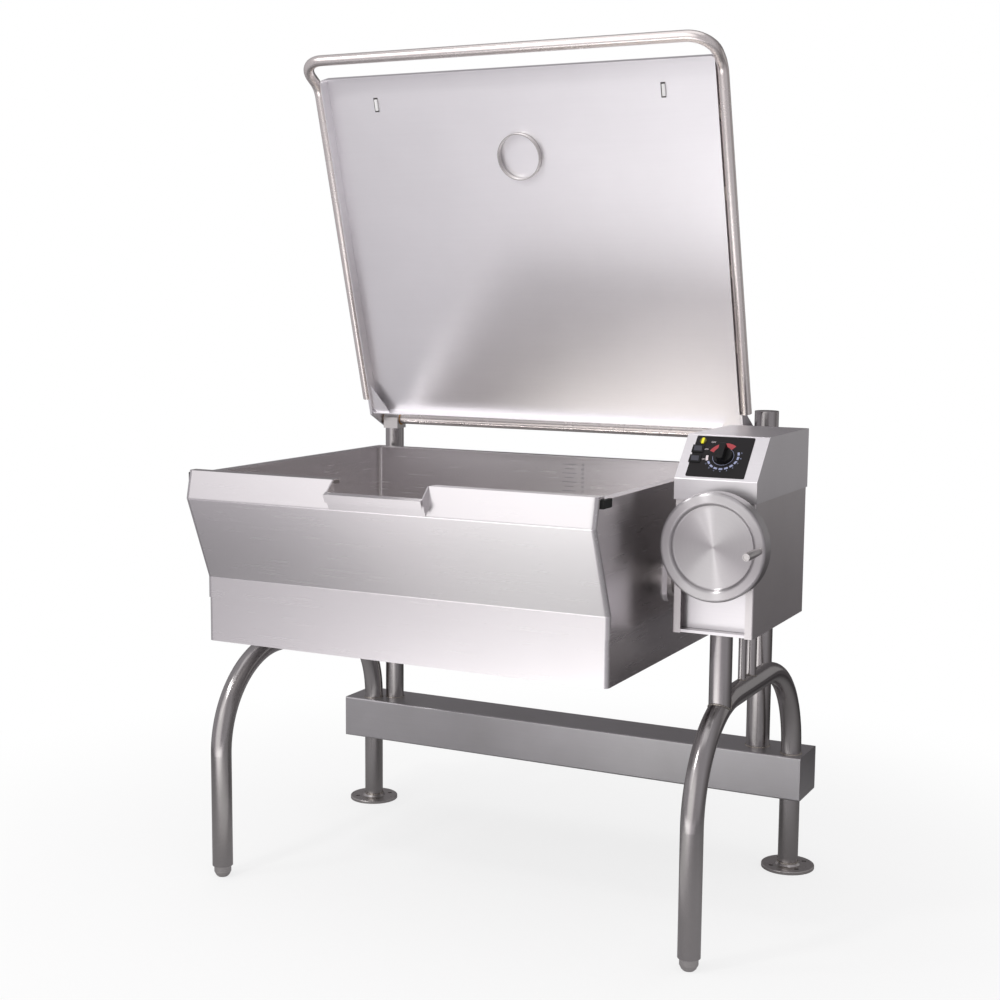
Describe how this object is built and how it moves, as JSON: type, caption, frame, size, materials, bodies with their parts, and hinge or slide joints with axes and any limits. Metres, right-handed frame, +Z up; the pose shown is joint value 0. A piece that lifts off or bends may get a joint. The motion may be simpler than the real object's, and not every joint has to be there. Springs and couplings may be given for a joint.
{
  "type": "tilting skillet",
  "caption": "Floor-standing tilting skillet: rectangular pan on trunnions between tubular leg arches, hinged lid on rear posts, side console with handwheel-driven worm tilt",
  "frame": {"origin": "middle of the overall footprint at floor level, on the undersides of the feet", "axes": "+X to the operator's right, towards the console; +Y from the pouring lip to the back; +Z up"},
  "size_m": [1.3535, 0.9776, 1.933],
  "materials": {
    "tube_steel": "satin drawn stainless tube",
    "beam_steel": "satin stainless sheet",
    "pan_steel": "brushed stainless sheet, grain along the length",
    "plate_steel": "ground stainless plate",
    "lid_steel": "brushed stainless sheet",
    "console_steel": "brushed stainless sheet",
    "wheel_steel": "spun stainless with concentric grain",
    "turned_steel": "turned steel",
    "cast_grey": "grey cast iron",
    "bronze": "machined bronze",
    "black_rubber": "black moulded rubber",
    "black_nylon": "black moulded plastic",
    "sheath_steel": "heat-darkened element sheath",
    "insulation": "mineral fibre blanket",
    "panel_film": "black printed film, matt",
    "black_plastic": "black moulded plastic",
    "rocker_plastic": "slate grey moulded plastic",
    "yellow_lens": "translucent yellow plastic"
  },
  "bodies": {
    "frame": {"left_leg_arch": "tube_steel", "right_leg_arch": "tube_steel", "rear_beam": "beam_steel", "beam_end_caps": "beam_steel", "left_lid_post": "tube_steel", "right_lid_post": "tube_steel", "right_post_cap": "tube_steel", "left_hinge_block": "turned_steel", "right_hinge_sleeve": "tube_steel", "hinge_bushings": "bronze", "left_trunnion_post": "tube_steel", "left_bearing_housing": "cast_grey", "trunnion_bushes": "bronze", "console_front_post": "tube_steel", "console_rear_post": "tube_steel", "wire_conduit": "tube_steel", "foot_inserts": "black_nylon", "rear_feet": "turned_steel", "console_casing": "console_steel", "console_panel": "console_steel", "console_hood": "console_steel", "panel_overlay": "panel_film", "thermostat_body": "black_nylon", "switch_bezels": "black_plastic", "indicator_lens": "yellow_lens", "mechanism_base": "console_steel", "right_bearing_housing": "cast_grey", "worm_blocks": "cast_grey", "worm_bushings": "bronze"},
    "pan": {"pan_shell": "pan_steel", "pour_lip": "pan_steel", "cooking_plate": "plate_steel", "element_casing": "pan_steel", "heating_elements": "sheath_steel", "insulation_pad": "insulation", "rim_bumpers": "black_rubber", "side_doublers": "pan_steel", "left_trunnion": "turned_steel", "right_trunnion": "turned_steel", "trunnion_screws": "turned_steel", "worm_gear": "bronze", "gear_key": "turned_steel", "trunnion_collars": "turned_steel"},
    "lid": {"lid_tray": "lid_steel", "lid_handle": "tube_steel", "hinge_tube": "tube_steel", "hinge_arms": "lid_steel", "lid_gussets": "lid_steel", "vent_pivot": "turned_steel"},
    "vent_cover": {"vent_cover": "lid_steel"},
    "handwheel": {"handwheel_disc": "wheel_steel", "wheel_hub": "turned_steel", "worm_shaft": "turned_steel", "crank_pin": "turned_steel"},
    "crank_knob": {"crank_knob": "turned_steel"},
    "thermostat_knob": {"thermostat_knob": "black_plastic"},
    "lower_rocker": {"lower_rocker": "rocker_plastic"},
    "upper_rocker": {"upper_rocker": "rocker_plastic"},
    "left_front_foot": {"left_front_foot": "turned_steel"},
    "right_front_foot": {"right_front_foot": "turned_steel"}
  },
  "joints": [
    {"name": "pan_tilt", "type": "hinge", "parent": "frame", "child": "pan", "pos_m": [-0.08002, -0.03708, 0.765], "axis": [1, 0, 0], "range_deg": [0, 90]},
    {"name": "handwheel_turn", "type": "hinge", "parent": "frame", "child": "handwheel", "pos_m": [0.56698, -0.22708, 0.867], "axis": [0, 1, 0], "range_deg": [0, 3600]},
    {"name": "crank_knob_turn", "type": "hinge", "parent": "handwheel", "child": "crank_knob", "pos_m": [0.66548, -0.26708, 0.867], "axis": [0, 1, 0], "continuous": true},
    {"name": "lid_swing", "type": "hinge", "parent": "frame", "child": "lid", "pos_m": [-0.08002, 0.42792, 1.04], "axis": [-1, 0, 0], "range_deg": [-73.6, 6]},
    {"name": "vent_cover_swing", "type": "hinge", "parent": "lid", "child": "vent_cover", "pos_m": [-0.00402, 0.19569, 1.69446], "axis": [0, 0.9593, 0.2823], "range_deg": [0, 110]},
    {"name": "thermostat_turn", "type": "hinge", "parent": "frame", "child": "thermostat_knob", "pos_m": [0.54897, -0.12753, 1.04066], "axis": [0, -0.7322, 0.6811], "range_deg": [-300, 0]},
    {"name": "lower_rocker_tip", "type": "hinge", "parent": "frame", "child": "lower_rocker", "pos_m": [0.48998, -0.13366, 1.03407], "axis": [1, 0, 0], "range_deg": [-14, 0]},
    {"name": "upper_rocker_tip", "type": "hinge", "parent": "frame", "child": "upper_rocker", "pos_m": [0.48998, -0.11595, 1.05311], "axis": [1, 0, 0], "range_deg": [-14, 0]},
    {"name": "left_foot_screw", "type": "slide", "parent": "frame", "child": "left_front_foot", "axis": [0, 0, 1], "range_m": [-0.025, 0]},
    {"name": "right_foot_screw", "type": "slide", "parent": "frame", "child": "right_front_foot", "axis": [0, 0, 1], "range_m": [-0.025, 0]}
  ],
  "couplings": [
    {"joint": "handwheel_turn", "follows": "pan_tilt", "ratio": 40}
  ]
}
